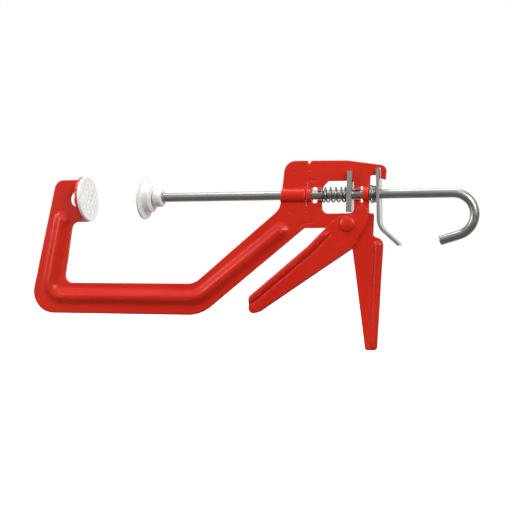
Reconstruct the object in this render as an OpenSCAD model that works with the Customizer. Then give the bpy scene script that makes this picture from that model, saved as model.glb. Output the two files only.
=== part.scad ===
// One-handed quick-action clamp. Two mirrored steel pressings make a C frame with a fixed handle.
// A round rod with a swivel pad slides through the frame, a trigger lever drives it towards the
// fixed jaw through a gripping plate, and a canted brake lever stops it sliding back.
// Millimetres. The origin is the centre of the fixed jaw pad's face, on the rod's axis.
// +X runs along the rod towards the handles, +Y points to the rear shell and +Z is up.

/* [Jaws] */
// Gap between the two pads as the clamp stands
jaw_gap = 54.5; // [50:0.5:60]
// Diameter of the fixed jaw's pad
fixed_pad_d = 41; // [36:0.5:42]
// Diameter of the rod's swivel pad
swivel_pad_d = 39; // [36:0.5:42]
// Thickness of the fixed jaw's pad
fixed_pad_t = 3; // [2:0.1:3.2]
// Thickness of the swivel pad at its rim
swivel_pad_t = 2.2; // [2:0.1:2.6]
// How far the fixed jaw's face leans back, in degrees
jaw_lean = 4; // [0:0.5:5]

/* [Rod] */
// Diameter of the clamping rod
rod_d = 8; // [7.6:0.1:8]
// Where the rod's hook starts to bend
hook_x = 334; // [330:1:345]
// Centre-line radius of the hook
hook_r = 18; // [16:1:20]
// Straight length at the hook's tip
hook_tip = 17; // [12:1:22]

/* [Frame] */
// Thickness of each pressed sheet
sheet_t = 2; // [1.8:0.1:2]
// Height of the stiffening rib above the sheet
rib_h = 4; // [3:0.5:5]
// Width of the rib
rib_w = 13; // [12:0.5:15]
// Wall of the tunnel that the rod slides through
tunnel_wall = 2; // [1.6:0.1:2.2]

/* [Mechanism] */
// Thickness of the drive plate
drive_t = 4.2; // [3.5:0.1:4.6]
// Thickness of the brake lever
brake_t = 2.6; // [2:0.1:2.8]
// Width of both plates
plate_w = 14; // [13:0.5:16]
// Diameter of the pivot rivet's shank
rivet_d = 6; // [5:0.5:7]

/* [Hidden] */

paint = [0.84, 0.19, 0.11];
zinc = [0.72, 0.73, 0.72];
nylon = [0.95, 0.94, 0.92];
spring_steel = [0.42, 0.41, 0.38];

$fn = 64;
rod_r = rod_d / 2;
running_gap = 0.05;   // radial clearance of a shaft that turns in its hole
sliding_gap = 0.3;    // clearance round the rod where it slides
through = 60;         // longer than anything that a cut goes through
bend_lap = 0.05;      // how far a straight length of rod runs into the hook's bend
bend_fuller = 0.05;   // how much fuller the bend is than the straight lengths
arc_steps = 8;        // straight steps in the rounding of an outline's corner

// The pivot, and the arc round it that keeps the frame clear of the lever's fold
pivot = [244.7, -25.5];
pivot_clear_r = 17;

// Where the web ends, inside the leaning flange, at a height z
function web_end(z) = -fixed_pad_t - 1.1 - z * tan(jaw_lean);

// Outline of one frame shell: [x, z, rounding]
frame_corners = concat(
    [[web_end(17.8), 17.8, 0], [-33.1, 17.8, 9], [-61.7, -106.2, 20], [109.6, -106.2, 34],
     [205.5, -28.7, 2], [227.4, -28.7, 0]],
    [for (a = [192 : 12 : 264]) [pivot.x + pivot_clear_r * cos(a), pivot.y + pivot_clear_r * sin(a), 0]],
    [[248.6, -47, 4], [259.5, -133.8, 2], [269.8, -133.8, 3], [275.4, -37, 7], [266.2, -37, 3],
     [267.1, -16.4, 1.5], [262.5, -16.4, 1.5], [263.9, 16.2, 1], [269.2, 16.2, 0.4],
     [269.2, 22.5, 0.8], [273.1, 22.5, 0.8], [273.1, 13.3, 0.6], [277.2, 12, 0.8],
     [278.2, 24.2, 5], [244, 29.4, 30], [212.4, 30, 0.4], [210.2, 26.6, 0.4], [208.7, 30.1, 0.4],
     [188.8, 30.3, 10.5], [183.9, -11.6, 15], [103.7, -77.8, 18], [-25.6, -77.8, 7],
     [-17, -21.3, 7], [web_end(-21.3), -21.3, 0]]);
window_corners = [[221.4, -16.2, 5.5], [249.9, -16.2, 4], [249.9, 11.9, 2], [227.1, 11.9, 1],
                  [222.9, 7.7, 1], [221.4, 5, 0]];
slit_corners = [[208.2, 11.9, 0], [208.9, 11.9, 0], [207.8, -9, 0], [207.1, -9, 0]];

// Slots beside the window: where the rod shows between the tunnel and the window
left_hole = [212.3, 217.8];
right_hole = [255.3, 257.8];
hole_half_h = 7;
rod_slot_half_h = rod_r + 0.8;

// Tunnel and straps that wrap the rod
tunnel_x = [185, left_hole[0]];
strap_x = [right_hole[1], 263.3];
tunnel_r = rod_r + sliding_gap;

// Centre line of the stiffening rib: [x, z, bend radius]
rib_path = [[-27, -20, 0], [-41.2, -90.5, 12], [108.8, -90.5, 26], [185, -31, 0]];

// Bead along the palm side of the fixed handle
bead_top = [271.1, -43.5];
bead_end = [266.6, -129.5];
bead_r = [4, 3.2];
bead_bore_r = [2.4, 1.8];

// Jaw flange and the peg that holds the fixed pad in it
flange_r = fixed_pad_d / 2 + 0.4;
flange_x = -fixed_pad_t - 2.2;
peg_r = 6.1;
peg_hole_r = 6.35;
peg_len = 13.5;
peg_notch = [-11.7, 7.4];   // centre and radius of the web's round notch for the peg

// Moving pad, measured back from its face, and the necked ball end of the rod inside it
pad_hub_r = 13.2;
pad_len = 10;
ball_back = 6.6;
ball_r = 4.9;
neck_r = 3;
neck_end = 10.5;
socket_r = ball_r + 0.15;
mouth_r = neck_r + 0.9;
collar_x = [11, 19];
collar_r = 8.3;

// Drive plate, which stands at a slight cant, and its spring
drive_x = 246.5;
drive_cant = 2.3;
drive_bore_r = rod_r + 0.45;
drive_top = 19.9;
drive_bottom = -15.2;
fork_z = 11.2;
fork_half_w = sheet_t + 0.3;
drive_spring_x = [221.5, 243.9];
drive_spring_r = 6.1;
drive_wire_r = 0.75;
drive_turns = 5.5;

// Brake lever: hangs in the frame's notch, canted against the rod
brake_pivot = [271.2, 21];
brake_cant = 1;
brake_top = 21.9;
brake_bend = [271.2, -28, 14];
brake_tip = [288.4, -44.1];
brake_bore_r = rod_r + 0.45;
brake_spring_x = [264.1, 269.3];
brake_spring_r = [7.6, 6.8];
brake_wire_r = 0.65;
brake_turns = 2.5;

// Trigger lever: two cheeks that straddle the frame, joined by a fold along the finger edge
cheek_in = sheet_t + 0.3;
cheek_out = cheek_in + sheet_t;
horn_r = 21.6;
finger_edge = [[225, -29.2], [208.1, -45.6], [156, -88.5]];
lever_corners = concat(
    [[225, -29.2, 0.8], [208.1, -45.6, 8], [156, -88.5, 3], [155.2, -105.5, 4.5], [164.9, -102.3, 2],
     [249.5, -45.6, 12], [262.6, -24, 10]],
    [for (a = [35 : 4 : 55]) [pivot.x + horn_r * cos(a), pivot.y + horn_r * sin(a), 0]],
    [[248.3, -16.8, 1.5], [237, -18.5, 8], [228, -26, 3]]);
fold_t = 2.2;
fold_stop = 0.94;     // share of the finger edge that the fold and bead run along
finger_bead_half_w = 2.9;
finger_bead_h = 1.2;

rivet_head_r = 7;
rivet_head_h = 2.6;
rivet_tail_r = 5.5;
rivet_tail_h = 1.8;

function unit(v) = v / norm(v);
function flat(p) = [p[0], p[1]];
function side(v) = [-v[1], v[0]];
function shortest(turn) = (turn + 540) % 360 - 180;

// Half the angle at corner b, between its neighbours a and c
function half_angle(a, b, c) = acos(unit(a - b) * unit(c - b)) / 2;

// Points that round corner b with radius r
function corner_arc(a, b, c, r) =
    let (half = half_angle(a, b, c),
         centre = b + unit(unit(a - b) + unit(c - b)) * r / sin(half),
         first = b + unit(a - b) * r / tan(half) - centre,
         last = b + unit(c - b) * r / tan(half) - centre,
         from = atan2(first.y, first.x),
         turn = shortest(atan2(last.y, last.x) - from))
    [for (i = [0 : arc_steps])
        centre + r * [cos(from + turn * i / arc_steps), sin(from + turn * i / arc_steps)]];

// An outline with each corner [x, y, r] rounded
function rounded(corners) =
    let (n = len(corners))
    [for (i = [0 : n - 1])
        let (a = flat(corners[(i + n - 1) % n]), b = flat(corners[i]), c = flat(corners[(i + 1) % n]))
        each corners[i][2] == 0 ? [b] : corner_arc(a, b, c, corners[i][2])];

// One long side of a lane: its path moved sideways by h, with the bends' radii to match
function lane_side(path, h) =
    let (n = len(path), p = [for (q = path) flat(q)])
    [for (i = [0 : n - 1])
        let (before = unit(i == 0 ? p[1] - p[0] : p[i] - p[i - 1]),
             after = unit(i == n - 1 ? p[i] - p[i - 1] : p[i + 1] - p[i]),
             mid = unit(side(before) + side(after)),
             q = p[i] + mid * h / (mid * side(before)),
             left_turn = cross(before, after) > 0 ? 1 : -1)
        [q.x, q.y, path[i][2] == 0 ? 0 : path[i][2] - left_turn * h]];

// The round end of a lane at p, where d points out of it
function lane_end(p, d, h) =
    [for (a = [75 : -15 : -75]) let (q = p + h * (cos(a) * d + sin(a) * side(d))) [q.x, q.y, 0]];

// Outline of a strip with round ends that follows a path of [x, y, bend radius]
function lane(path, half) =
    let (n = len(path), right = lane_side(path, -half),
         first = flat(path[0]), second = flat(path[1]), last = flat(path[n - 1]), before = flat(path[n - 2]))
    rounded(concat(lane_side(path, half), lane_end(last, unit(last - before), half),
                   [for (i = [n - 1 : -1 : 0]) right[i]], lane_end(first, unit(first - second), half)));

// A round bar along X
module bar_x(x, r) {
    translate([x[0], 0, 0]) rotate([0, 90, 0]) cylinder(h = x[1] - x[0], r = r);
}

// A tapered round bar between two points of the drawing plane
module taper(a, b, ra, rb) {
    d = b - a;
    translate([a.x, a.y, 0])
        rotate([0, 0, atan2(d.y, d.x)])
            rotate([0, 90, 0]) cylinder(h = norm(d), r1 = ra, r2 = rb);
}

// Only the half on one side of the drawing plane
module outer_half() {
    intersection() {
        children();
        translate([-through * 2, -through * 4, 0]) cube([through * 8, through * 6, through]);
    }
}

// A coil along X whose radius goes from r[0] to r[1], with closed end turns
module coil(x, r, wire_r, turns) {
    sides = 8;
    steps = 20;
    closed = 0.7;
    count = ceil(turns * steps);
    pitch = (x[1] - x[0] - 2 * wire_r * (1 + 2 * closed)) / (turns - 2 * closed);
    function advance(u) = x[0] + wire_r + 2 * wire_r * min(u, closed)
        + pitch * max(0, min(u, turns - closed) - closed) + 2 * wire_r * max(0, u - turns + closed);
    points = [for (i = [0 : count]) let (u = turns * i / count, mean = r[0] + (r[1] - r[0]) * u / turns)
        for (k = [0 : sides - 1]) let (b = 360 * k / sides, out = mean + wire_r * cos(b))
            [advance(u) + wire_r * sin(b), out * cos(360 * u), out * sin(360 * u)]];
    walls = [for (i = [0 : count - 1]) for (k = [0 : sides - 1])
        let (j = (k + 1) % sides)
        [i * sides + k, (i + 1) * sides + k, (i + 1) * sides + j, i * sides + j]];
    start_cap = [for (k = [0 : sides - 1]) k];
    end_cap = [for (k = [sides - 1 : -1 : 0]) count * sides + k];
    polyhedron(points, concat(walls, [start_cap, end_cap]));
}

// The flat sheet of a shell, with its window, slots and holes
module frame_sheet() {
    difference() {
        polygon(rounded(frame_corners));
        polygon(rounded(window_corners));
        polygon(rounded(slit_corners));
        for (x = [left_hole, right_hole])
            translate([x[0], -hole_half_h]) square([x[1] - x[0], 2 * hole_half_h]);
        translate([left_hole[0], -rod_slot_half_h])
            square([window_corners[0][0] + 1 - left_hole[0], 2 * rod_slot_half_h]);
        translate([window_corners[1][0] - 1, -rod_slot_half_h])
            square([right_hole[1] - window_corners[1][0] + 1, 2 * rod_slot_half_h]);
        rotate(jaw_lean) {
            translate([peg_notch[0], 0]) circle(peg_notch[1]);
            translate([peg_notch[0], -peg_notch[1]]) square([-peg_notch[0], 2 * peg_notch[1]]);
        }
        translate(pivot) circle(rivet_d / 2 + running_gap);
    }
}

// One pressing in the drawing plane, with its outside upwards
module pressing() {
    difference() {
        union() {
            linear_extrude(sheet_t) frame_sheet();
            linear_extrude(sheet_t + rib_h) polygon(lane(rib_path, rib_w / 2));
            outer_half() {
                bar_x(tunnel_x, tunnel_r + tunnel_wall);
                bar_x(strap_x, tunnel_r + tunnel_wall);
                taper(bead_top, bead_end, bead_r[0], bead_r[1]);
                translate([bead_top.x, bead_top.y, 0]) sphere(bead_r[0]);
            }
        }
        translate([0, 0, -1]) linear_extrude(rib_h + 1) polygon(lane(rib_path, rib_w / 2 - sheet_t));
        bar_x([tunnel_x[0] - 2, strap_x[1] + 2], tunnel_r);
        taper(bead_top, bead_end + unit(bead_end - bead_top), bead_bore_r[0], bead_bore_r[1]);
        translate([0, 0, -1]) linear_extrude(through) polygon(rounded(slit_corners));
    }
}

// Half of the round flange that backs the fixed pad
module half_flange() {
    rotate([0, 0, jaw_lean]) outer_half() difference() {
        bar_x([flange_x, -fixed_pad_t], flange_r);
        bar_x([flange_x - 1, 0], peg_hole_r);
    }
}

module shell() {
    rotate([90, 0, 0]) {
        pressing();
        half_flange();
    }
}

module frame_front_shell() {
    color(paint) shell();
}

module frame_rear_shell() {
    color(paint) mirror([0, 1, 0]) shell();
}

// Profiles are [radius, distance along X]
module turned(profile) {
    rotate([0, 90, 0]) rotate_extrude() polygon(profile);
}

module fixed_jaw_pad() {
    rim = fixed_pad_d / 2;
    color(nylon) rotate([0, -jaw_lean, 0])
        turned([[0, 0], [rim - 0.7, 0], [rim, -0.7], [rim, -fixed_pad_t + 0.4], [rim - 0.4, -fixed_pad_t],
                [peg_r, -fixed_pad_t], [peg_r, flange_x - 0.2], [peg_r + 0.8, flange_x - 0.6],
                [peg_r + 0.7, flange_x - 2.5], [peg_r, -peg_len], [peg_r - 1.5, -peg_len - 1.5],
                [0, -peg_len - 1.5]]);
}

module swivel_pad() {
    rim = swivel_pad_d / 2;
    mouth_angle = acos(mouth_r / socket_r);
    socket = [for (i = [0 : 12]) let (a = mouth_angle - (mouth_angle + 90) * i / 12)
        [socket_r * cos(a), ball_back + socket_r * sin(a)]];
    color(nylon)
        translate([jaw_gap, 0, 0])
            turned(concat([[0, 0], [rim - 0.7, 0], [rim, 0.7], [rim, swivel_pad_t - 0.4],
                           [rim - 0.4, swivel_pad_t], [pad_hub_r + 0.6, swivel_pad_t],
                           [pad_hub_r, swivel_pad_t + 0.6], [pad_hub_r, pad_len - 1.8],
                           [pad_hub_r - 0.9, pad_len - 0.9], [mouth_r + 1.6, pad_len], [mouth_r, pad_len]],
                          socket));
}

module rod_collar() {
    color(nylon)
        translate([jaw_gap, 0, 0])
            turned([[rod_r + running_gap, collar_x[0]], [collar_r - 0.4, collar_x[0]],
                    [collar_r, collar_x[0] + 0.4], [collar_r, collar_x[1] - 0.8],
                    [collar_r - 0.8, collar_x[1]], [rod_r + running_gap, collar_x[1]]]);
}

module clamp_rod() {
    hook_turn = 163;
    ball_x = jaw_gap + ball_back;
    neck_angle = acos(neck_r / ball_r);
    ball = [for (i = [0 : 12]) let (a = -90 + (90 + neck_angle) * i / 12)
        [ball_r * cos(a), ball_x + ball_r * sin(a)]];
    color(zinc) {
        turned(concat(ball, [[neck_r, jaw_gap + neck_end], [rod_r, jaw_gap + neck_end],
                             [rod_r, hook_x + bend_lap], [0, hook_x + bend_lap]]));
        translate([hook_x, 0, -hook_r]) rotate([90, 0, 0]) {
            rotate([0, 0, 90 - hook_turn]) rotate_extrude(angle = hook_turn)
                translate([hook_r, 0]) circle(rod_r + bend_fuller);
            rotate([0, 0, 90 - hook_turn]) translate([hook_r, bend_lap, 0]) rotate([90, 0, 0])
                rotate_extrude() polygon([[0, 0], [rod_r, 0], [rod_r, hook_tip - 0.8],
                                          [rod_r - 0.8, hook_tip], [0, hook_tip]]);
        }
    }
}

module drive_plate() {
    color(zinc)
        translate([drive_x, 0, 0]) rotate([0, drive_cant, 0])
            difference() {
                translate([-drive_t / 2, -plate_w / 2, drive_bottom])
                    cube([drive_t, plate_w, drive_top - drive_bottom]);
                bar_x([-drive_t, drive_t], drive_bore_r);
                translate([-drive_t, -fork_half_w, fork_z])
                    cube([2 * drive_t, 2 * fork_half_w, drive_top]);
            }
}

module drive_spring() {
    color(spring_steel) coil(drive_spring_x, [drive_spring_r, drive_spring_r], drive_wire_r, drive_turns);
}

// Side profile of the brake lever: a strip bent once
module brake_profile() {
    a = [brake_pivot.x, brake_top];
    b = flat(brake_bend);
    half = half_angle(a, b, brake_tip);
    inward = unit(unit(a - b) + unit(brake_tip - b)) * brake_t / 2 / sin(half);
    across = side(unit(brake_tip - b)) * brake_t / 2;
    inner = b + inward;
    outer = b - inward;
    polygon(rounded([[a.x + brake_t / 2, a.y, 0.5],
                     [inner.x, inner.y, brake_bend[2] - brake_t / 2],
                     [brake_tip.x + across.x, brake_tip.y + across.y, 0.6],
                     [brake_tip.x - across.x, brake_tip.y - across.y, 0.6],
                     [outer.x, outer.y, brake_bend[2] + brake_t / 2],
                     [a.x - brake_t / 2, a.y, 0.5]]));
}

module brake_lever() {
    color(zinc)
        translate([brake_pivot.x, 0, brake_pivot.y]) rotate([0, -brake_cant, 0])
            translate([-brake_pivot.x, 0, -brake_pivot.y])
                difference() {
                    translate([0, plate_w / 2, 0]) rotate([90, 0, 0]) linear_extrude(plate_w) brake_profile();
                    bar_x([brake_pivot.x - 5, brake_pivot.x + 5], brake_bore_r);
                }
}

module brake_spring() {
    color(spring_steel) coil(brake_spring_x, brake_spring_r, brake_wire_r, brake_turns);
}

// A strip of the given width inside the finger edge
module finger_strip(width) {
    a = finger_edge[0];
    b = finger_edge[1];
    c = b + (finger_edge[2] - b) * fold_stop;
    in_a = -side(unit(b - a)) * width;
    in_c = -side(unit(c - b)) * width;
    inward = unit(in_a + in_c) * width;
    polygon([a, b, c, c - in_c, b - inward, a - in_a]);
}

// Centre line of the bead beside the finger edge
function bead_line() =
    let (a = finger_edge[0], b = finger_edge[1], c = b + (finger_edge[2] - b) * fold_stop,
         in_a = side(unit(b - a)), in_c = side(unit(c - b)), mid = unit(in_a + in_c),
         w = finger_bead_half_w + 0.3, start = a + in_a * w + unit(b - a) * (w + 1),
         end = c + in_c * w - unit(c - b) * w, bend = b + mid * w)
    [[start.x, start.y, 0], [bend.x, bend.y, 40], [end.x, end.y, 0]];

module trigger_cheek() {
    difference() {
        union() {
            translate([0, 0, cheek_in]) linear_extrude(sheet_t) polygon(rounded(lever_corners));
            translate([0, 0, cheek_out - 0.2])
                linear_extrude(finger_bead_h + 0.2) polygon(lane(bead_line(), finger_bead_half_w));
        }
        translate([pivot.x, pivot.y, -1]) cylinder(h = through, r = rivet_d / 2 + running_gap);
    }
}

module trigger_lever() {
    color(paint) rotate([90, 0, 0]) {
        trigger_cheek();
        mirror([0, 0, 1]) trigger_cheek();
        translate([0, 0, -cheek_out]) linear_extrude(2 * cheek_out) finger_strip(fold_t);
    }
}

// The part of a sphere that stands h above a base circle of radius r
module dome(r, h) {
    ball = (r * r + h * h) / (2 * h);
    intersection() {
        translate([0, 0, h - ball]) sphere(ball);
        cylinder(h = h, r = r + 1);
    }
}

module pivot_rivet() {
    grip = cheek_out + running_gap;
    color(paint) translate([pivot.x, 0, pivot.y]) rotate([90, 0, 0]) {
        translate([0, 0, -grip]) cylinder(h = 2 * grip, r = rivet_d / 2);
        translate([0, 0, grip]) dome(rivet_head_r, rivet_head_h);
        mirror([0, 0, 1]) translate([0, 0, grip]) dome(rivet_tail_r, rivet_tail_h);
    }
}

frame_front_shell();
frame_rear_shell();
fixed_jaw_pad();
swivel_pad();
rod_collar();
clamp_rod();
drive_plate();
drive_spring();
brake_lever();
brake_spring();
trigger_lever();
pivot_rivet();
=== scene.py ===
"""One-handed quick-action clamp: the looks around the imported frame.

Sizes are in millimetres unless named _m.
"""

import math

import bpy
import numpy as np
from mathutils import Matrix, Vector
from mathutils.geometry import delaunay_2d_cdt


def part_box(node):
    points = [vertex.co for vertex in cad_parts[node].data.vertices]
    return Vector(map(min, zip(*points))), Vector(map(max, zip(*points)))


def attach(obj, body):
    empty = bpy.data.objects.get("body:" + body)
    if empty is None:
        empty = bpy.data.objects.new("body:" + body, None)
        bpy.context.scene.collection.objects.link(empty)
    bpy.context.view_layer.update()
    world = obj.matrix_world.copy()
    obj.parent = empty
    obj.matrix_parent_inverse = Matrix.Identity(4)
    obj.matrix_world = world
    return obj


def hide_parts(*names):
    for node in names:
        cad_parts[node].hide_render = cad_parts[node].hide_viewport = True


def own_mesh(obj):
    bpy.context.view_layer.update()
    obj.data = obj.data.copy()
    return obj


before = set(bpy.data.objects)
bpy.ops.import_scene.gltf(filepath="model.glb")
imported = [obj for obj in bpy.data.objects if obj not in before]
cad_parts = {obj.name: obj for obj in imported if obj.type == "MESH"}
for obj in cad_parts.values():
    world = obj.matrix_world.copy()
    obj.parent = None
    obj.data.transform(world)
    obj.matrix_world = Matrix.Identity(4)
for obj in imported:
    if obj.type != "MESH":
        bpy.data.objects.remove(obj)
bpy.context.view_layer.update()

MM = 0.001


# ---------------------------------------------------------------- sizes that the frame gives

def node_box(node):
    """A CAD node's lowest and highest corners in millimetres."""
    low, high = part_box(node)
    return np.array(low) / MM, np.array(high) / MM


shell_low = node_box("frame_front_shell")[0]
pad_low, pad_high = node_box("swivel_pad")
collar_low, collar_high = node_box("rod_collar")
rivet_low, rivet_high = node_box("pivot_rivet")
spring_low, spring_high = node_box("drive_spring")
brake_spring_low, brake_spring_high = node_box("brake_spring")

ROD_R = 4.0
SHEET_T = 2.0
PIVOT = np.array([(rivet_low[0] + rivet_high[0]) / 2, (rivet_low[2] + rivet_high[2]) / 2])
JAW_GAP = pad_low[0]


# ---------------------------------------------------------------- flat geometry

def around(sides):
    """Evenly spaced angles once round a circle."""
    return np.linspace(0, 2 * math.pi, sides, endpoint=False)


def corner_arc(a, b, c, radius, steps):
    """Points that round corner b."""
    to_a = (a - b) / np.linalg.norm(a - b)
    to_c = (c - b) / np.linalg.norm(c - b)
    half = math.acos(np.clip(to_a @ to_c, -1, 1)) / 2
    middle = to_a + to_c
    centre = b + middle / np.linalg.norm(middle) * radius / math.sin(half)
    first = b + to_a * radius / math.tan(half) - centre
    last = b + to_c * radius / math.tan(half) - centre
    start = math.atan2(first[1], first[0])
    turn = (math.atan2(last[1], last[0]) - start + math.pi) % (2 * math.pi) - math.pi
    angles = start + turn * np.linspace(0, 1, steps + 1)
    return [centre + radius * np.array([math.cos(t), math.sin(t)]) for t in angles]


def rounded(corners, closed=True, steps=12):
    """Corners [x, z, radius] as a line of points with each corner rounded."""
    points = [np.array(c[:2], float) for c in corners]
    count = len(points)
    line = []
    for i, corner in enumerate(corners):
        inner = closed or 0 < i < count - 1
        if inner and corner[2] > 0:
            line += corner_arc(points[i - 1], points[i], points[(i + 1) % count], corner[2], steps)
        else:
            line.append(points[i])
    return np.array(line)


def resampled(line, step, closed=True):
    """The same line with no stretch longer than step."""
    ends = np.roll(line, -1, axis=0) if closed else line[1:]
    out = []
    for a, b in zip(line, ends):
        pieces = max(1, math.ceil(np.linalg.norm(b - a) / step))
        out += [a + (b - a) * k / pieces for k in range(pieces)]
    if not closed:
        out.append(line[-1])
    return np.array(out)


def distance_to(points, line, closed=True):
    """Shortest distance from each point to a line of points."""
    a = line if closed else line[:-1]
    b = np.roll(line, -1, axis=0) if closed else line[1:]
    run = b - a
    length2 = np.maximum((run ** 2).sum(1), 1e-12)
    best = np.full(len(points), np.inf)
    for k in range(0, len(points), 4000):
        p = points[k:k + 4000, None, :] - a[None]
        t = np.clip((p * run).sum(2) / length2, 0, 1)
        gap = p - t[..., None] * run
        best[k:k + 4000] = np.sqrt((gap ** 2).sum(2)).min(1)
    return best


def inside(points, loops):
    """Which points lie within the outlines, counting holes."""
    odd = np.zeros(len(points), bool)
    for loop in loops:
        a, b = loop, np.roll(loop, -1, axis=0)
        for k in range(0, len(points), 4000):
            x, z = points[k:k + 4000, 0, None], points[k:k + 4000, 1, None]
            crosses = (a[:, 1] > z) != (b[:, 1] > z)
            with np.errstate(divide="ignore", invalid="ignore"):
                at = a[:, 0] + (z - a[:, 1]) * (b[:, 0] - a[:, 0]) / (b[:, 1] - a[:, 1])
            odd[k:k + 4000] ^= (crosses & (x < at)).sum(1) % 2 == 1
    return odd


def smoothstep(value, low, high):
    t = np.clip((value - low) / (high - low), 0, 1)
    return t * t * (3 - 2 * t)


def smooth_max(a, b, k):
    h = np.clip(0.5 + 0.5 * (a - b) / k, 0, 1)
    return b + (a - b) * h + k * h * (1 - h)


# ---------------------------------------------------------------- making objects

def finished(name, mesh, material, body, node=None, sharp_deg=38):
    """Shades a mesh, gives it its material and hangs it on its body."""
    mesh.shade_smooth()
    mesh.set_sharp_from_angle(angle=math.radians(sharp_deg))
    mesh.materials.append(material)
    piece = bpy.data.objects.new(name, mesh)
    bpy.context.collection.objects.link(piece)
    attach(piece, body)
    if node:
        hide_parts(node)
    return piece


def mesh_of(name, points_mm, faces):
    mesh = bpy.data.meshes.new(name)
    mesh.from_pydata((np.asarray(points_mm, float) * MM).tolist(), [], faces)
    mesh.validate()
    mesh.update()
    return mesh


def pressing(name, loops, outer, inner, edge_r, grid, extra=()):
    """A closed skin of pressed sheet, drawn in XZ, with its outer edge rounded by edge_r.

    outer(p) and inner(p) give its two faces' distances from Y = 0. The points have Y positive, and the
    faces suit the front, where Y is negated.
    """
    loops = [resampled(loop, 1.6) for loop in loops]
    ring_at = [edge_r * s for s in (0.12, 0.4, 0.8, 1.3)]
    seeds = []
    for loop in loops:
        after, before = np.roll(loop, -1, axis=0), np.roll(loop, 1, axis=0)
        along = after - before
        normal = np.stack([-along[:, 1], along[:, 0]], 1) / np.linalg.norm(along, axis=1)[:, None]
        for ring in ring_at:
            for way in (1, -1):
                ring_points = loop + normal * ring * way
                gap = np.min([distance_to(ring_points, other) for other in loops], axis=0)
                seeds.append(ring_points[inside(ring_points, loops) & (gap > ring * 0.93)])
    low, high = loops[0].min(0), loops[0].max(0)
    gx, gz = np.meshgrid(np.arange(low[0], high[0], grid), np.arange(low[1], high[1], grid))
    field = np.stack([gx.ravel(), gz.ravel()], 1)
    field = np.concatenate([field] + [np.asarray(e, float) for e in extra])
    field = field[inside(field, loops)]
    gap = np.min([distance_to(field, loop) for loop in loops], axis=0)
    seeds.append(field[gap > ring_at[-1] + 0.3])
    rim = np.concatenate(loops)
    points = np.concatenate([rim] + seeds)
    edges, start = [], 0
    for loop in loops:
        count = len(loop)
        edges += [(start + i, start + (i + 1) % count) for i in range(count)]
        start += count
    made = delaunay_2d_cdt([Vector(p) for p in points], edges, [], 0, 1e-5)
    flat = np.array([v[:] for v in made[0]])
    triangles = np.array(made[2])
    triangles = triangles[inside(flat[triangles].mean(1), loops)]
    a, b, c = (flat[triangles[:, k]] for k in range(3))
    turned = (b[:, 0] - a[:, 0]) * (c[:, 1] - a[:, 1]) - (b[:, 1] - a[:, 1]) * (c[:, 0] - a[:, 0])
    triangles[turned < 0] = triangles[turned < 0][:, ::-1]
    gap = np.min([distance_to(flat, loop) for loop in loops], axis=0)
    gap[gap < 1e-4] = 0
    top = outer(flat)
    bite = np.clip(edge_r - gap, 0, edge_r)
    top = top - (edge_r - np.sqrt(edge_r ** 2 - bite ** 2))
    bottom = inner(flat)
    seam = 0.35
    bite = np.clip(seam - gap, 0, seam)
    bottom = bottom + (seam - np.sqrt(seam ** 2 - bite ** 2))
    count = len(flat)
    skin = np.concatenate([np.stack([flat[:, 0], y, flat[:, 1]], 1) for y in (top, bottom)])
    faces = [tuple(t) for t in triangles] + [tuple(count + t[::-1]) for t in triangles]
    directed = {(t[i], t[(i + 1) % 3]) for t in triangles for i in range(3)}
    faces += [(i, i + count, j + count, j) for i, j in directed if (j, i) not in directed]
    return skin, faces


def both_sides(skin, faces):
    """The front pressing and its mirror image behind it."""
    front = skin * [1, -1, 1]
    return (front, faces), (skin, [f[::-1] for f in faces])


def swept(path, radii, sides=32, caps=True):
    """A tube round a path of 3-D points, with no twist."""
    path = np.asarray(path, float)
    radii = np.broadcast_to(np.asarray(radii, float), len(path))
    tangent = np.gradient(path, axis=0)
    tangent /= np.linalg.norm(tangent, axis=1)[:, None]
    across = np.cross(tangent[0], [0.0, 0.0, 1.0] if abs(tangent[0][2]) < 0.9 else [0.0, 1.0, 0.0])
    points = []
    for p, t, r in zip(path, tangent, radii):
        across = across - t * (across @ t)
        across /= np.linalg.norm(across)
        up = np.cross(t, across)
        points += [p + r * (math.cos(u) * across + math.sin(u) * up) for u in around(sides)]
    faces = []
    for i in range(len(path) - 1):
        for k in range(sides):
            j = (k + 1) % sides
            faces.append((i * sides + k, i * sides + j, (i + 1) * sides + j, (i + 1) * sides + k))
    if caps:
        faces.append(tuple(range(sides))[::-1])
        faces.append(tuple((len(path) - 1) * sides + k for k in range(sides)))
    return np.array(points), faces


def turned(profile, sides=72):
    """A solid of revolution about X from [x, radius] points that start and end on the axis."""
    points, faces, rings = [], [], []
    for x, r in profile:
        if r < 1e-6:
            rings.append([len(points)])
            points.append((x, 0, 0))
        else:
            rings.append(list(range(len(points), len(points) + sides)))
            points += [(x, r * math.cos(u), r * math.sin(u)) for u in around(sides)]
    for lower, upper in zip(rings, rings[1:]):
        for k in range(sides):
            j = (k + 1) % sides
            a, b = lower[k % len(lower)], lower[j % len(lower)]
            c, d = upper[j % len(upper)], upper[k % len(upper)]
            face = [v for n, v in enumerate((a, d, c, b)) if v not in (a, d, c, b)[:n]]
            if len(face) > 2:
                faces.append(tuple(face))
    return np.array(points, float), faces


# ---------------------------------------------------------------- materials

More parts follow.
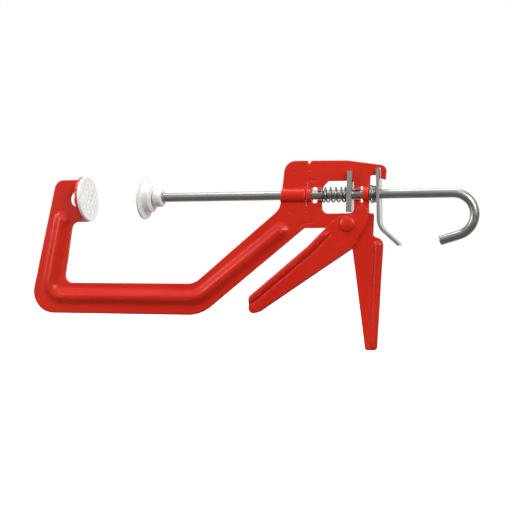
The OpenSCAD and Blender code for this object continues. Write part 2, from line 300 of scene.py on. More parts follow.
class Nodes:
    """A short way to write one material's nodes."""

    def __init__(self, name):
        self.material = bpy.data.materials.new(name)
        self.material.use_nodes = True
        self.tree = self.material.node_tree
        self.shader = self.tree.nodes["Principled BSDF"]
        self.coords = self.tree.nodes.new("ShaderNodeTexCoord").outputs["Object"]

    def link(self, a, b):
        self.tree.links.new(a, b)

    def noise(self, scale, detail=4.0, stretch=(1, 1, 1)):
        mapping = self.tree.nodes.new("ShaderNodeMapping")
        mapping.inputs["Scale"].default_value = stretch
        self.link(self.coords, mapping.inputs["Vector"])
        node = self.tree.nodes.new("ShaderNodeTexNoise")
        node.inputs["Scale"].default_value = scale
        node.inputs["Detail"].default_value = detail
        self.link(mapping.outputs["Vector"], node.inputs["Vector"])
        return node.outputs["Fac"]

    def ramp(self, value, low, high, start=0.35, end=0.65):
        node = self.tree.nodes.new("ShaderNodeValToRGB")
        node.color_ramp.elements[0].position = start
        node.color_ramp.elements[1].position = end
        node.color_ramp.elements[0].color = low if len(low) == 4 else (*low, 1)
        node.color_ramp.elements[1].color = high if len(high) == 4 else (*high, 1)
        self.link(value, node.inputs["Fac"])
        return node.outputs["Color"]

    def grey_ramp(self, value, low, high, start=0.35, end=0.65):
        return self.ramp(value, (low, low, low), (high, high, high), start, end)

    def mix(self, share, a, b):
        node = self.tree.nodes.new("ShaderNodeMix")
        node.data_type = "RGBA"
        self.link(share, node.inputs[0])
        for socket, value in ((node.inputs[6], a), (node.inputs[7], b)):
            if hasattr(value, "default_value"):
                self.link(value, socket)
            else:
                socket.default_value = (*value, 1)
        return node.outputs[2]

    def multiply(self, a, b):
        node = self.tree.nodes.new("ShaderNodeMath")
        node.operation = "MULTIPLY"
        self.link(a, node.inputs[0])
        self.link(b, node.inputs[1])
        return node.outputs[0]

    def bump(self, height, strength, distance_m, below=None):
        node = self.tree.nodes.new("ShaderNodeBump")
        node.inputs["Strength"].default_value = strength
        node.inputs["Distance"].default_value = distance_m
        self.link(height, node.inputs["Height"])
        if below:
            self.link(below, node.inputs["Normal"])
        return node.outputs["Normal"]

    def edges(self, start, end):
        geometry = self.tree.nodes.new("ShaderNodeNewGeometry")
        return self.grey_ramp(geometry.outputs["Pointiness"], 0.0, 1.0, start, end)

    def put(self, socket, value):
        if hasattr(value, "default_value"):
            self.link(value, self.shader.inputs[socket])
        else:
            self.shader.inputs[socket].default_value = value


def red_paint():
    """Gloss coating on pressed steel: slight orange peel, dust-dulled patches, and sharp edges painted a
    lighter orange-red, partly as rubbed wear and partly as a painted highlight.
    """
    n = Nodes("red_paint")
    body = n.ramp(n.noise(14, 3), (0.62, 0.012, 0.002), (0.70, 0.020, 0.004))
    # Sharp edges, picked out by pointiness and broken up by noise, are painted lighter: partly rubbed wear,
    # partly a painted highlight along the edges.
    edge_wear_and_highlight = n.multiply(n.edges(0.515, 0.56), n.grey_ramp(n.noise(260, 6), 0.0, 0.8, 0.5, 0.62))
    n.put("Base Color", n.mix(edge_wear_and_highlight, body, (0.85, 0.20, 0.12)))
    n.put("Roughness", n.grey_ramp(n.noise(45, 6), 0.30, 0.42))
    n.put("Coat Weight", 0.12)
    n.put("Specular IOR Level", 0.3)
    n.put("Coat Roughness", 0.14)
    peel = n.bump(n.noise(420, 2), 0.10, 0.0003)
    n.put("Normal", n.bump(n.noise(2600, 2), 0.04, 0.0001, peel))
    return n.material


def nylon(name="white_nylon"):
    """Moulded off-white plastic, a little waxy, with faint handling marks."""
    n = Nodes(name)
    body = n.ramp(n.noise(38, 4), (0.84, 0.83, 0.81), (0.90, 0.895, 0.88))
    n.put("Base Color", n.mix(n.grey_ramp(n.noise(170, 8), 0.0, 0.35, 0.56, 0.72), body, (0.72, 0.68, 0.62)))
    n.put("Roughness", n.grey_ramp(n.noise(90, 5), 0.38, 0.5))
    n.put("Subsurface Weight", 0.12)
    n.put("Subsurface Radius", (0.002, 0.0018, 0.0015))
    n.put("Subsurface Scale", 1.0)
    n.put("Normal", n.bump(n.noise(1300, 3), 0.06, 0.0001))
    return n.material


def zinc(name, stretch, base=(0.36, 0.36, 0.34)):
    """Zinc-plated steel with fine lines along its length and cloudy passivation."""
    n = Nodes(name)
    light = tuple(min(1.0, c * 1.18) for c in base)
    cloud = n.ramp(n.noise(55, 6), base, light)
    n.put("Base Color", n.mix(n.grey_ramp(n.noise(420, 8), 0.0, 0.4, 0.55, 0.75), cloud, (0.36, 0.355, 0.34)))
    n.put("Metallic", 1.0)
    n.put("Roughness", n.grey_ramp(n.noise(130, 8, stretch), 0.24, 0.40))
    n.put("Normal", n.bump(n.noise(700, 4, stretch), 0.12, 0.0002))
    return n.material


def spring_wire():
    """Oiled spring wire with a brown-black drawn finish."""
    n = Nodes("spring_wire")
    n.put("Base Color", n.ramp(n.noise(500, 6), (0.17, 0.16, 0.14), (0.36, 0.35, 0.32)))
    n.put("Metallic", 0.95)
    n.put("Roughness", n.grey_ramp(n.noise(800, 5), 0.25, 0.45))
    n.put("Normal", n.bump(n.noise(2400, 3), 0.1, 0.0001))
    return n.material


PAINT = red_paint()
NYLON = nylon()
ROD_ZINC = zinc("zinc_rod", (0.03, 1, 1))
PLATE_ZINC = zinc("zinc_plate", (1, 1, 0.05), base=(0.60, 0.60, 0.575))
WIRE = spring_wire()


# ---------------------------------------------------------------- frame shells

TUNNEL_IN = ROD_R + 0.3
TUNNEL_OUT = TUNNEL_IN + 2
HOLE_HALF = 7.0
SLOT_HALF = ROD_R + 0.3
NOTCH = (-11.7, 7.3)
JAW_LEAN = math.radians(4)
FIXED_PAD_T = 3.0


def web_end(z):
    """Where the web stops behind the leaning jaw flange, at height z."""
    return -FIXED_PAD_T - 1.1 - z * math.tan(JAW_LEAN)


pivot_arc = [[PIVOT[0] + 17 * math.cos(math.radians(a)), PIVOT[1] + 17 * math.sin(math.radians(a)), 0]
             for a in range(192, 265, 12)]
shell_outline = rounded([
    [web_end(17.8), 17.8, 0], [-33.1, 17.8, 9], [-61.7, -106.2, 20], [109.6, -106.2, 34], [205.5, -28.7, 2],
    [227.4, -28.7, 0]] + pivot_arc + [
    [248.6, -47, 4], [259.5, -133.8, 2], [269.8, -133.8, 3], [275.4, -37, 7], [266.2, -37, 3],
    [267.1, -16.4, 1.5], [262.5, -16.4, 1.5], [263.9, 16.2, 1], [269.2, 16.2, 0.4], [269.2, 22.5, 0.8],
    [273.1, 22.5, 0.8], [273.1, 13.3, 0.6], [277.2, 12, 0.8], [278.2, 24.2, 5], [244, 29.4, 30],
    [212.4, 30, 0.4], [210.2, 26.6, 0.4], [208.7, 30.1, 0.4], [188.8, 30.3, 10.5], [183.9, -11.6, 15],
    [103.7, -77.8, 18], [-25.6, -77.8, 7], [-17, -21.3, 7], [web_end(-21.3), -21.3, 0],
    [web_end(-NOTCH[1]), -NOTCH[1], 0],
    [NOTCH[0] - NOTCH[1] - 0.1, -NOTCH[1], NOTCH[1] - 0.1],
    [NOTCH[0] - NOTCH[1] - 0.1, NOTCH[1], NOTCH[1] - 0.1],
    [web_end(NOTCH[1]), NOTCH[1], 0]])

HOLE_X = (212.3, 217.8)
WINDOW_X = (221.4, 249.9)
STRAP_HOLE_X = (255.3, 257.8)
window = rounded([
    [HOLE_X[0], -HOLE_HALF, 2.6], [HOLE_X[1], -HOLE_HALF, 2.2], [HOLE_X[1], -SLOT_HALF, 0.3],
    [WINDOW_X[0], -SLOT_HALF, 0.3], [WINDOW_X[0], -16.2, 5.5], [WINDOW_X[1], -16.2, 4],
    [WINDOW_X[1], -SLOT_HALF, 0.3], [STRAP_HOLE_X[0], -SLOT_HALF, 0.3], [STRAP_HOLE_X[0], -HOLE_HALF, 0.9],
    [STRAP_HOLE_X[1], -HOLE_HALF, 0.9], [STRAP_HOLE_X[1], HOLE_HALF, 0.9], [STRAP_HOLE_X[0], HOLE_HALF, 0.9],
    [STRAP_HOLE_X[0], SLOT_HALF, 0.3], [WINDOW_X[1], SLOT_HALF, 0.3], [WINDOW_X[1], 11.9, 2],
    [227.1, 11.9, 1],
    [222.9, 7.7, 1], [WINDOW_X[0], SLOT_HALF, 0.3], [HOLE_X[1], SLOT_HALF, 0.3], [HOLE_X[1], HOLE_HALF, 2.2],
    [HOLE_X[0], HOLE_HALF, 2.6]])

slit = rounded([[208.2, 11.9, 0.3], [208.9, 11.9, 0.3], [208.3, 0, 20], [207.8, -9, 0.3], [207.1, -9, 0.3],
                [207.6, 0, 20]])

rib_corners = [[-27, -20, 0], [-41.2, -90.5, 12], [108.8, -90.5, 26], [185, -31, 0]]
rib_line = resampled(rounded(rib_corners, closed=False), 2.0, closed=False)
bead_line = np.array([[271.1, -43.5], [266.6, -129.5]])
weld_spots = [(-50.7, -94.3), (36.8, -80.6), (107.3, -98.7), (192.6, -16.3), (196.3, 18.1), (211.0, 20.2),
              (208.0, -15.5)]
creases = [np.array([[207.6, 12.6], [216.0, 12.9]]), np.array([[204.9, -24.6], [213.0, -23.6]]),
           np.array([[204.9, -24.6], [201.6, -27.6]])]


def shell_outer(p):
    """Height of a shell's outer face above the mid-plane."""
    x, z = p[:, 0], p[:, 1]
    height = np.full(len(p), SHEET_T)
    off_rib = distance_to(p, rib_line, closed=False)
    height += 4.0 * (1 - smoothstep(off_rib, 0.8, 8.2))
    on_rod = (x > 180) & (x < 290)
    tube = np.sqrt(np.maximum(TUNNEL_OUT ** 2 - z ** 2, 0))
    height = np.where(on_rod, smooth_max(tube, height, 0.9), height)
    share = np.clip((bead_line[0, 1] - z) / (bead_line[0, 1] - bead_line[1, 1]), 0, 1)
    bead_r = 4.3 - 0.9 * share
    off_bead = distance_to(p, bead_line, closed=False)
    bead = np.sqrt(np.maximum(bead_r ** 2 - off_bead ** 2, 0))
    height = np.where(x > 255, smooth_max(bead, height, 0.35), height)
    valley = np.exp(-((off_bead - bead_r - 0.4) / 0.9) ** 2) * (x < 271) * (x > 255)
    height -= 0.6 * valley
    for spot in weld_spots:
        away = np.hypot(x - spot[0], z - spot[1])
        height += 0.32 * np.exp(-(away / 0.9) ** 2) - 0.12 * np.exp(-((away - 1.9) / 0.6) ** 2)
    for crease in creases:
        height -= 0.4 * np.exp(-(distance_to(p, crease, closed=False) / 0.45) ** 2)
    root = np.clip(3.2 - (web_end(z) - x), 0, 3.2) * ((x < 3) & (z > -22))
    height += 3.2 - np.sqrt(3.2 ** 2 - root ** 2)
    return height


def shell_inner(p):
    """Height of a shell's inner face: flat, and open round the rod."""
    x, z = p[:, 0], p[:, 1]
    tube = np.sqrt(np.maximum(TUNNEL_IN ** 2 - z ** 2, 0))
    return np.where((x > 180) & (x < 290), tube, 0.0)


def rows(x_range, heights, step):
    xs = np.arange(x_range[0], x_range[1], step)
    return np.array([(x, z) for x in xs for z in heights])


def rings(spot, radii, count=10):
    return np.array([(spot[0] + r * math.cos(t), spot[1] + r * math.sin(t))
                     for r in radii for t in around(count)])


def beside(line, offsets, step):
    """Points on both sides of a line at the given offsets."""
    line = resampled(line, step, closed=False)
    along = np.gradient(line, axis=0)
    normal = np.stack([-along[:, 1], along[:, 0]], 1) / np.linalg.norm(along, axis=1)[:, None]
    return np.concatenate([line + normal * o for o in offsets] + [line - normal * o for o in offsets])


above_axis = (0.6, 1.7, 2.7, 3.5, 4.0, 4.25, 4.6, 5.0, 5.4, 5.7, 5.95, 6.15, 6.35, 6.7, 7.3)
tunnel_heights = [way * height for way in (1, -1) for height in above_axis]
shell_extra = [
    rows((184, 213), tunnel_heights, 1.5), rows((257, 265), tunnel_heights, 1.2),
    beside(rib_line, (0.01, 1.2, 2.2, 3.1, 3.9, 4.6, 5.3, 6.0, 6.7, 7.4), 1.8),
    beside(bead_line, (0.01, 0.8, 1.6, 2.3, 2.9, 3.3, 3.6, 3.9, 4.2, 4.5, 4.9, 5.4), 1.6),
    np.array([(web_end(z) - q, z) for q in (0.3, 0.8, 1.4, 2.1, 2.8, 3.4) for z in np.arange(-20, 18, 1.5)]),
]
shell_extra += [rings(spot, (0.01, 0.7, 1.3, 1.9, 2.5, 3.2)) for spot in weld_spots]
shell_extra += [beside(crease, (0.01, 0.4, 0.8), 0.7) for crease in creases]

shell_loops = [shell_outline, window, slit]
skin, faces = pressing("shell", shell_loops, shell_outer, shell_inner, 0.7, 2.0, shell_extra)
front_shell, rear_shell = both_sides(skin, faces)
finished("front_shell", mesh_of("front_shell", *front_shell), PAINT, "frame",
         "frame_front_shell")
finished("rear_shell", mesh_of("rear_shell", *rear_shell), PAINT, "frame", "frame_rear_shell")

# The round flange that the two shells' jaw ends are bent out into
FLANGE_R = 20.9
FLANGE_X = (-FIXED_PAD_T - 2.2, -FIXED_PAD_T)


def leaned(points):
    """The same points, leaned back with the fixed jaw about the middle of its face."""
    points = np.asarray(points, float)
    x, y, z = points.T
    c, s = math.cos(JAW_LEAN), math.sin(JAW_LEAN)
    return np.stack([x * c - z * s, y, x * s + z * c], 1)


FLAT_RINGS = (7.0, 9.0, 11.5, 14.0, 16.5, 18.5)
flange_profile = [[FLANGE_X[1], 6.4]] + [[FLANGE_X[1], r] for r in FLAT_RINGS] + [
    [FLANGE_X[1], FLANGE_R - 0.5], [FLANGE_X[1] - 0.15, FLANGE_R - 0.15], [FLANGE_X[1] - 0.5, FLANGE_R],
    [FLANGE_X[0] + 0.6, FLANGE_R], [FLANGE_X[0] + 0.2, FLANGE_R - 0.2], [FLANGE_X[0], FLANGE_R - 0.7]] + [
    [FLANGE_X[0], r] for r in FLAT_RINGS[::-1]] + [[FLANGE_X[0], 6.4], [FLANGE_X[1], 6.4]]
flange_points, flange_faces = turned(flange_profile, 96)
finished("jaw_flange", mesh_of("jaw_flange", leaned(flange_points), flange_faces), PAINT, "frame")


# ---------------------------------------------------------------- pads

def waffle_disc(x_face, direction, radius, depth, pitch=7.0, groove=0.9):
    """A pad's gripping face: a disc with a diamond grid. direction is +1 when it looks to +X."""
    ring_count, sides = 56, 120
    points, faces = [(x_face, 0.0, 0.0)], []
    for i in range(1, ring_count + 1):
        r = radius * i / ring_count
        for t in around(sides):
            y, z = r * math.cos(t), r * math.sin(t)
            u, v = (y + 0.75 * z) / pitch, (y - 0.75 * z) / pitch
            line = min(abs(u - round(u)), abs(v - round(v))) * pitch
            cut = depth * math.exp(-(line / groove) ** 2) * min(1.0, max(0.0, (radius - 1.0 - r) / 0.8))
            points.append((x_face - direction * cut, y, z))
    for k in range(sides):
        j = (k + 1) % sides
        faces.append((0, 1 + k, 1 + j))
        for i in range(ring_count - 1):
            a, b = 1 + i * sides, 1 + (i + 1) * sides
            faces.append((a + k, b + k, b + j, a + j))
    if direction < 0:
        faces = [f[::-1] for f in faces]
    return np.array(points), faces, sides


def pad(profile, face_x, direction, rim):
    """A turned pad body with a waffle disc for a face. profile runs from the face's rim to the axis."""
    face_points, face_faces, sides = waffle_disc(face_x, direction, rim, 0.45)
    start = len(face_points) - sides
    points, faces = list(map(tuple, face_points)), list(face_faces)
    last = list(range(start, start + sides))
    for x, r in profile:
        if r < 1e-6:
            ring = [len(points)] * sides
            points.append((x, 0, 0))
        else:
            ring = list(range(len(points), len(points) + sides))
            points += [(x, r * math.cos(t), r * math.sin(t)) for t in around(sides)]
        for k in range(sides):
            j = (k + 1) % sides
            quad = (last[k], ring[k], ring[j], last[j])
            quad = tuple(v for n, v in enumerate(quad) if v not in quad[:n])
            faces.append(quad if direction > 0 else quad[::-1])
        last = ring
    return np.array(points), faces


FIXED_R = 20.5
PEG_R = 6.1
PEG_LEN = 13.5
rim_back = -FIXED_PAD_T
peg_from = FLANGE_X[0]
fixed_profile = [[-0.12, FIXED_R - 0.3], [-0.4, FIXED_R - 0.08], [-0.8, FIXED_R], [rim_back + 0.6, FIXED_R],
                 [rim_back + 0.2, FIXED_R - 0.15], [rim_back, FIXED_R - 0.5], [rim_back, PEG_R],
                 [peg_from - 0.2, PEG_R], [peg_from - 0.6, PEG_R + 0.8], [peg_from - 2.5, PEG_R + 0.7],
                 [-PEG_LEN + 1.6, PEG_R - 0.1], [-PEG_LEN, PEG_R - 0.9], [-PEG_LEN - 1, PEG_R - 2.4],
                 [-PEG_LEN - 1.4, PEG_R - 4.2], [-PEG_LEN - 1.5, 0]]
fixed_points, fixed_faces = pad(fixed_profile, 0.0, 1, FIXED_R - 0.7)
finished("fixed_pad", mesh_of("fixed_pad", leaned(fixed_points), fixed_faces), NYLON, "frame",
         "fixed_jaw_pad", 50)

SWIVEL_R = (pad_high[2] - pad_low[2]) / 2
SWIVEL_T = 2.2
PAD_LEN = pad_high[0] - pad_low[0]
HUB_R = 13.2
BALL_BACK, BALL_R, NECK_R = 6.6, 4.9, 3.0
socket_r = BALL_R + 0.15
mouth_angle = math.acos((NECK_R + 0.9) / socket_r)
socket = [[BALL_BACK + socket_r * math.sin(a), socket_r * math.cos(a)]
          for a in np.linspace(mouth_angle, -math.pi / 2, 14)]
socket[-1][1] = 0
swivel_profile = [[0.12, SWIVEL_R - 0.3], [0.4, SWIVEL_R - 0.08], [0.8, SWIVEL_R], [SWIVEL_T - 0.5, SWIVEL_R],
                  [SWIVEL_T - 0.1, SWIVEL_R - 0.2], [SWIVEL_T, SWIVEL_R - 0.6], [SWIVEL_T, HUB_R + 0.8],
                  [SWIVEL_T + 0.2, HUB_R + 0.3], [SWIVEL_T + 0.7, HUB_R], [PAD_LEN - 1.9, HUB_R],
                  [PAD_LEN - 1.3, HUB_R - 0.2], [PAD_LEN - 0.9, HUB_R - 0.9], [PAD_LEN - 0.4, HUB_R - 3.4],
                  [PAD_LEN, NECK_R + 2.5], [PAD_LEN, NECK_R + 0.9]] + socket
swivel_profile = [[JAW_GAP + x, r] for x, r in swivel_profile]
swivel_parts = pad(swivel_profile, JAW_GAP, -1, SWIVEL_R - 0.7)
finished("swivel_pad", mesh_of("swivel_pad_look", *swivel_parts), NYLON, "pad",
         "swivel_pad", 50)

collar_r = (collar_high[2] - collar_low[2]) / 2
c0, c1 = collar_low[0], collar_high[0]
collar_profile = [[c0, ROD_R + 0.05], [c0, collar_r - 0.9], [c0 + 0.25, collar_r - 0.3], [c0 + 0.8, collar_r],
                  [c1 - 1.0, collar_r], [c1 - 0.35, collar_r - 0.35], [c1, collar_r - 1.2], [c1, ROD_R + 0.6],
                  [c1 - 0.4, ROD_R + 0.05], [c0, ROD_R + 0.05]]
finished("pad_collar", mesh_of("pad_collar", *turned(collar_profile)), NYLON, "collar",
         "rod_collar", 50)


# ---------------------------------------------------------------- rod

HOOK_X, HOOK_R, HOOK_TURN, HOOK_TIP = 334.0, 18.0, 163.0, 17.0
NECK_END = JAW_GAP + 10.5
ball_x = JAW_GAP + BALL_BACK
ball_angle = np.linspace(-math.pi / 2, math.acos(NECK_R / BALL_R), 14)
rod_path = [[ball_x + BALL_R * math.sin(t), 0, 0] for t in ball_angle]
rod_radii = [max(BALL_R * math.cos(t), 0.02) for t in ball_angle]
for x, r in ((NECK_END - 0.05, NECK_R), (NECK_END, ROD_R - 0.3), (NECK_END + 0.3, ROD_R)):
    rod_path.append([x, 0, 0])
    rod_radii.append(r)
straight = np.linspace(NECK_END + 2, HOOK_X, 60)
rod_path += [[x, 0, 0] for x in straight]
rod_radii += [ROD_R] * len(straight)
bend = np.radians(90 - np.linspace(0, HOOK_TURN, 60)[1:])
rod_path += [[HOOK_X + HOOK_R * math.cos(t), 0, -HOOK_R + HOOK_R * math.sin(t)] for t in bend]
rod_radii += [ROD_R] * len(bend)
end_angle = math.radians(90 - HOOK_TURN)
tip_way = np.array([math.sin(end_angle), 0, -math.cos(end_angle)])
tip_start = np.array(rod_path[-1])
# Rings at the hook's tip: distance before its end, and how far the ring draws in
tip_rings = ((16, 0), (11, 0), (5, 0), (1.2, 0), (0.7, 0.07), (0.3, 0.3), (0.08, 0.6), (0, 1.1), (0, 2.5),
             (0, 3.95))
for before_end, inset in tip_rings:
    rod_path.append(list(tip_start + tip_way * (HOOK_TIP - before_end)))
    rod_radii.append(ROD_R - inset)


def rod_mesh():
    """The tube's rings follow the path's own directions, so the two ends' steep rings keep them too."""
    path = np.array(rod_path)
    sides, points, faces = 40, [], []
    for i, (p, r) in enumerate(zip(path, rod_radii)):
        a, b = path[max(i - 1, 0)], path[min(i + 1, len(path) - 1)]
        way = b - a
        way = way / np.linalg.norm(way) if np.linalg.norm(way) > 1e-6 else tip_way
        up = np.array([-way[2], 0, way[0]])
        points += [p + r * (math.cos(t) * np.array([0, 1, 0]) + math.sin(t) * up)
                   for t in around(sides)]
    for i in range(len(path) - 1):
        for k in range(sides):
            j = (k + 1) % sides
            faces.append((i * sides + k, i * sides + j, (i + 1) * sides + j, (i + 1) * sides + k))
    faces.append(tuple(range(sides))[::-1])
    faces.append(tuple((len(path) - 1) * sides + k for k in range(sides)))
    return mesh_of("rod", points, faces)


finished("rod", rod_mesh(), ROD_ZINC, "rod", "clamp_rod", 50)


# ---------------------------------------------------------------- springs

def coil(x, radii, wire_r, turns, closed=0.75, phase=90.0):
    """Centre line of a coil along X, with closed end turns."""
    pitch = (x[1] - x[0] - 2 * wire_r * (1 + 2 * closed)) / (turns - 2 * closed)
    u = np.linspace(0, turns, int(turns * 36))
    first = np.clip(u, 0, closed)
    middle = np.clip(u - closed, 0, turns - 2 * closed)
    last = np.clip(u - turns + closed, 0, closed)
    at = x[0] + wire_r + 2 * wire_r * first + pitch * middle + 2 * wire_r * last
    r = radii[0] + (radii[1] - radii[0]) * u / turns
    turn = 2 * math.pi * u + math.radians(phase)
    return np.stack([at, r * np.cos(turn), r * np.sin(turn)], 1)


drive_wire = coil((spring_low[0], spring_high[0]), (6.1, 6.1), 0.75, 5.5)
drive_coil = mesh_of("drive_spring_coil", *swept(drive_wire, 0.75, 14))
drive_spring = finished("drive_spring_coil", drive_coil, WIRE, "frame", "drive_spring", 50)
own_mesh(drive_spring)

brake_wire = coil((brake_spring_low[0], brake_spring_high[0]), (7.4, 6.6), 0.65, 2.5)
brake_coil = mesh_of("brake_spring_coil", *swept(brake_wire, 0.65, 14))
brake_spring = finished("brake_spring_coil", brake_coil, WIRE, "frame", "brake_spring", 50)
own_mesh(brake_spring)


# ---------------------------------------------------------------- plates

def plate_material_on(node, material):
    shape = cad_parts[node]
    shape.data.materials.clear()
    shape.data.materials.append(material)


plate_material_on("drive_plate", PLATE_ZINC)
plate_material_on("brake_lever", PLATE_ZINC)


# ---------------------------------------------------------------- trigger lever

CHEEK_IN = SHEET_T + 0.3
CHEEK_OUT = CHEEK_IN + SHEET_T
HORN_R = 21.6
horn = [[PIVOT[0] + HORN_R * math.cos(math.radians(a)), PIVOT[1] + HORN_R * math.sin(math.radians(a)), 0]
        for a in range(35, 56, 4)]
lever_outline = rounded([[225, -29.2, 0.8], [208.1, -45.6, 8], [156, -88.5, 3], [155.2, -105.5, 4.5],
                         [164.9, -102.3, 2], [249.5, -45.6, 20], [262.6, -24, 14]] + horn +
                        [[248.3, -16.8, 1.5], [237, -18.5, 8], [228, -26, 3]])
bead_centre = 3.1
finger_line = rounded([[225, -29.2, 0], [208.1, -45.6, 8], [156, -88.5, 0]], closed=False)


def lever_outer(p):
    """Height of the lever's cheek: a rolled bead beside the finger edge and a swell round the pivot."""
    x, z = p[:, 0], p[:, 1]
    height = np.full(len(p), CHEEK_OUT)
    off_edge = distance_to(p, finger_line, closed=False)
    reach = np.clip(1 - ((off_edge - bead_centre) / 3.0) ** 2, 0, 1)
    fade = smoothstep(np.hypot(x - 230.0, z + 26.0), 6.0, 10.0)
    height += 1.5 * np.sqrt(reach) * fade
    height -= 0.8 * np.exp(-((off_edge - 6.7) / 0.8) ** 2) * fade
    away = np.hypot(x - PIVOT[0], z - PIVOT[1])
    height += 0.35 * (1 - smoothstep(away, 7.5, 10.5))
    mark = np.hypot(x - 236.0, z + 41.5)
    height -= 0.3 * np.exp(-(mark / 1.3) ** 2)
    return height


def lever_inner(p):
    return np.full(len(p), CHEEK_IN)


across_bead = (0.3, 0.7, 1.2, 1.8, 2.6, 3.4, 4.2, 4.9, 5.4, 5.8, 6.1, 6.4, 6.8, 7.3, 7.9)
lever_extra = [beside(finger_line, across_bead, 1.5), rings(PIVOT, (7.2, 8.0, 8.8, 9.6, 10.4, 11.2), 40),
               rings((236.0, -41.5), (0.01, 0.7, 1.3, 1.9, 2.6))]
skin, faces = pressing("cheek", [lever_outline], lever_outer, lever_inner, 0.8, 1.8, lever_extra)
front_cheek, rear_cheek = both_sides(skin, faces)


def fold_strip():
    """The web that joins the two cheeks along the finger edge."""
    inset = 2.2
    corners = [[224.6, -29.6, 0], [208.1, -45.6, 8], [159.1, -85.95, 0]]
    line = resampled(rounded(corners, closed=False), 2.0, closed=False)
    along = np.gradient(line, axis=0)
    normal = np.stack([-along[:, 1], along[:, 0]], 1) / np.linalg.norm(along, axis=1)[:, None]
    other = line + normal * inset
    count, half = len(line), CHEEK_IN + 0.4
    points = [(q[0], y, q[1]) for y in (-half, half) for row in (line, other) for q in row]
    a, b, c, d = 0, count, 2 * count, 3 * count
    faces = []
    for i in range(count - 1):
        faces += [(a + i, a + i + 1, c + i + 1, c + i), (b + i, d + i, d + i + 1, b + i + 1),
                  (a + i, b + i, b + i + 1, a + i + 1), (c + i, c + i + 1, d + i + 1, d + i)]
    faces += [(a, c, d, b), (a + count - 1, b + count - 1, d + count - 1, c + count - 1)]
    return points, faces


def joined(parts):
    points, faces, start = [], [], 0
    for part_points, part_faces in parts:
        points += [tuple(p) for p in part_points]
        faces += [tuple(v + start for v in f) for f in part_faces]
        start += len(part_points)
    return points, faces


trigger_parts = joined([front_cheek, rear_cheek, fold_strip()])
finished("trigger", mesh_of("trigger", *trigger_parts), PAINT, "trigger", "trigger_lever")


# ---------------------------------------------------------------- rivet

def rivet_mesh():
    grip = CHEEK_OUT + 0.4
    dome = [(7.0 * math.cos(t), 2.45 * math.sin(t)) for t in np.linspace(0, math.pi / 2, 12)]
    tail = [(5.5 * math.cos(t), 1.9 * math.sin(t)) for t in np.linspace(0, math.pi / 2, 10)]
    shank = [[grip - 0.15, 7.0], [grip - 0.35, 6.8], [grip - 0.35, 3.0], [-grip + 0.35, 3.0],
             [-grip + 0.35, 5.3], [-grip + 0.1, 5.5]]
    profile = [[grip + h, r] for r, h in dome[::-1]] + shank + [[-grip - h, r] for r, h in tail]
    points, faces = turned(profile, 64)
    placed = np.stack([PIVOT[0] + points[:, 1], -points[:, 0], PIVOT[1] + points[:, 2]], 1)
    return mesh_of("rivet", placed, faces)


finished("rivet", rivet_mesh(), PAINT, "frame", "pivot_rivet")


# ---------------------------------------------------------------- stage, camera and light

FLOOR_GLOW = 0.78


def floor_material():
    """Pale matt paper that glows a little, as a lit table does."""
    n = Nodes("floor_pale")
    n.put("Base Color", n.ramp(n.noise(0.8, 3), (0.90, 0.90, 0.895), (0.93, 0.93, 0.925)))
    n.put("Roughness", 0.9)
    n.put("Emission Color", (1, 1, 1, 1))
    n.put("Emission Strength", FLOOR_GLOW)
    return n.material


FLOOR_Z_M = shell_low[2] * MM - 0.0006
floor_mesh = bpy.data.meshes.new("floor")
floor_corners = [(x, y, FLOOR_Z_M) for x, y in ((-9, -9), (9, -9), (9, 9), (-9, 9))]
floor_mesh.from_pydata(floor_corners, [], [(0, 1, 2, 3)])
floor_mesh.materials.append(floor_material())
floor = bpy.data.objects.new("floor", floor_mesh)
bpy.context.collection.objects.link(floor)
floor.visible_diffuse = False
floor.visible_glossy = False

world = bpy.data.worlds.new("studio")
bpy.context.scene.world = world
world.use_nodes = True
tree = world.node_tree
backdrop = tree.nodes["Background"]
backdrop.inputs["Color"].default_value = (1, 1, 1, 1)
ROOM_DIM, ROOM_BRIGHT, BEHIND, BACKDROP = 0.21, 0.6, 0.9, 1.0
direction = tree.nodes.new("ShaderNodeSeparateXYZ")
tree.links.new(tree.nodes.new("ShaderNodeTexCoord").outputs["Generated"], direction.inputs["Vector"])
room = tree.nodes.new("ShaderNodeMath")
room.operation = "MAXIMUM"
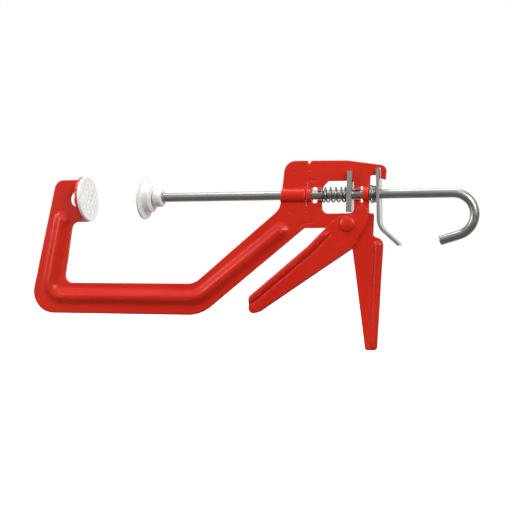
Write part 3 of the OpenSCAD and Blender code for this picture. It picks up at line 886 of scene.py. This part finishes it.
# The room brightens upwards and behind the clamp: axis, where the fade starts and ends, brightest
room_fades = (("Z", 0.0, 0.55, ROOM_BRIGHT), ("Y", 0.2, 0.8, BEHIND))
for side, (axis, start, end, brightest) in enumerate(room_fades):
    fade = tree.nodes.new("ShaderNodeMapRange")
    fade.inputs["From Min"].default_value = start
    fade.inputs["From Max"].default_value = end
    fade.inputs["To Min"].default_value = ROOM_DIM
    fade.inputs["To Max"].default_value = brightest
    tree.links.new(direction.outputs[axis], fade.inputs["Value"])
    tree.links.new(fade.outputs["Result"], room.inputs[side])
strength = tree.nodes.new("ShaderNodeMix")
strength.inputs[3].default_value = BACKDROP
tree.links.new(tree.nodes.new("ShaderNodeLightPath").outputs["Is Camera Ray"], strength.inputs[0])
tree.links.new(room.outputs["Value"], strength.inputs[2])
tree.links.new(strength.outputs[0], backdrop.inputs["Strength"])
bpy.context.scene.view_settings.view_transform = "Standard"

CAMERA_AZIMUTH = math.radians(16.8)
CAMERA_AWAY_M = 0.9549
camera_target = Vector((0.1615, 0.0, -0.053))
camera_data = bpy.data.cameras.new("camera")
camera_data.sensor_width = 36
camera_data.lens = 75.9
camera_data.clip_end = 60
camera = bpy.data.objects.new("camera", camera_data)
bpy.context.collection.objects.link(camera)
looking = Vector((-math.sin(CAMERA_AZIMUTH), math.cos(CAMERA_AZIMUTH), 0))
camera.location = camera_target - looking * CAMERA_AWAY_M
camera.rotation_euler = looking.to_track_quat("-Z", "Y").to_euler()
bpy.context.scene.camera = camera


def soft_light(name, place, aim, size, power):
    data = bpy.data.lights.new(name, "AREA")
    data.shape = "RECTANGLE"
    data.size, data.size_y = size
    data.energy = power
    lamp = bpy.data.objects.new(name, data)
    bpy.context.collection.objects.link(lamp)
    lamp.location = place
    lamp.rotation_euler = (Vector(aim) - Vector(place)).to_track_quat("-Z", "Y").to_euler()
    return lamp


soft_light("key", (0.95, -0.75, 0.55), camera_target, (0.5, 0.5), 8.5)
soft_light("top", (0.1, 0.1, 1.0), camera_target, (0.9, 0.6), 7.5)
soft_light("left", (-0.8, -0.6, 0.3), camera_target, (0.4, 0.6), 5.0)
